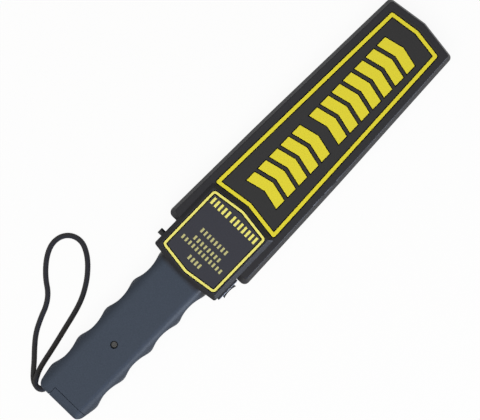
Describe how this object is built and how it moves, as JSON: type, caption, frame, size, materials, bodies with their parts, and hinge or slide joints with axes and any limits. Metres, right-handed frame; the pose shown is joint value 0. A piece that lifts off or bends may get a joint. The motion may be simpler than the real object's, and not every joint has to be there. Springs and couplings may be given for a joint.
{
  "type": "security metal detector wand",
  "caption": "Hand-held security metal detector with a flat tapered search paddle, raised control block, grip with finger grooves, side rocker switch and wrist strap.",
  "frame": {"origin": "under the middle of the wand, on the surface it lies on; the wrist strap isn't counted", "axes": "+Y along the wand towards the search tip, +X across it towards the rocker switch, +Z out of the label face"},
  "size_m": [0.1344, 0.4148, 0.045],
  "materials": {
    "charcoal_shell": "fine moulded texture, slight sheen",
    "label_film": "printed polycarbonate film",
    "screw_steel": "plated steel",
    "former_plastic": "plain moulding",
    "copper_wire": "enamelled copper wire",
    "board_laminate": "glass-fibre laminate",
    "black_component": "moulded package",
    "ferrite": "ferrite",
    "can_aluminium": "sleeved can",
    "ochre_component": "dipped",
    "tan_component": "lacquered",
    "blue_component": "moulded",
    "header_plastic": "moulded",
    "black_gloss": "smooth moulding",
    "black_rubber": "matt",
    "brass_metal": "plain",
    "green_lamp": "clear lens",
    "red_lamp": "clear lens",
    "amber_lamp": "clear lens",
    "spring_steel": "spring wire",
    "battery_jacket": "lithographed steel",
    "cell_wrap": "film-wrapped cells",
    "stud_metal": "nickel plated",
    "foam": "foam",
    "red_wire": "insulation",
    "black_wire": "insulation",
    "braided_cord": "braided"
  },
  "bodies": {
    "housing": {"alarm_lamp": "red_lamp", "battery_cells": "cell_wrap", "battery_jacket": "battery_jacket", "battery_lamp": "amber_lamp", "battery_snap": "black_gloss", "battery_studs": "stud_metal", "black_lead": "black_wire", "board_headers": "header_plastic", "board_screws": "screw_steel", "button_switch": "black_component", "buzzer_case": "black_gloss", "buzzer_gasket": "black_rubber", "buzzer_leads": "black_wire", "case_screws": "screw_steel", "chips": "black_component", "circuit_board": "board_laminate", "coil_former": "former_plastic", "coil_leads": "copper_wire", "coil_winding": "copper_wire", "control_label": "label_film", "electrolytic_capacitors": "can_aluminium", "film_capacitors": "ochre_component", "front_housing": "charcoal_shell", "inductor_core": "ferrite", "inductor_winding": "copper_wire", "motor_clip": "screw_steel", "motor_leads": "black_wire", "paddle_label": "label_film", "power_lamp": "green_lamp", "rear_housing": "charcoal_shell", "rear_label": "label_film", "red_lead": "red_wire", "resistors": "tan_component", "strap_cord": "braided_cord", "strap_stop": "black_gloss", "switch_blades": "brass_metal", "switch_body": "black_gloss", "switch_leads": "red_wire", "transistors": "black_component", "trimmer_body": "blue_component", "vibration_motor": "screw_steel"},
    "rocker": {"rocker": "black_gloss"},
    "button": {"push_button": "black_gloss", "button_spring": "spring_steel"},
    "cover": {"battery_cover": "charcoal_shell", "battery_pad": "foam"},
    "trimmer": {"trimmer_rotor": "screw_steel"},
    "weight": {"eccentric_weight": "brass_metal"}
  },
  "joints": [
    {"name": "rocker_tilt", "type": "hinge", "parent": "housing", "child": "rocker", "pos_m": [0.0294, -0.0506, 0.0205], "axis": [0, 0, 1], "range_deg": [-9, 9]},
    {"name": "button_press", "type": "slide", "parent": "housing", "child": "button", "axis": [1, 0, 0], "range_m": [0, 0.0015], "stiffness_N_per_m": 300, "springref_m": -0.002},
    {"name": "cover_slide", "type": "slide", "parent": "housing", "child": "cover", "axis": [1, 0, 0], "range_m": [0, 0.036]},
    {"name": "trimmer_turn", "type": "hinge", "parent": "housing", "child": "trimmer", "pos_m": [0.0096, -0.01482, 0.0157], "axis": [0, 0, 1], "range_deg": [-135, 135]},
    {"name": "weight_spin", "type": "hinge", "parent": "housing", "child": "weight", "pos_m": [-0.008, -0.1265, 0.0104], "axis": [0, 1, 0], "continuous": true}
  ]
}
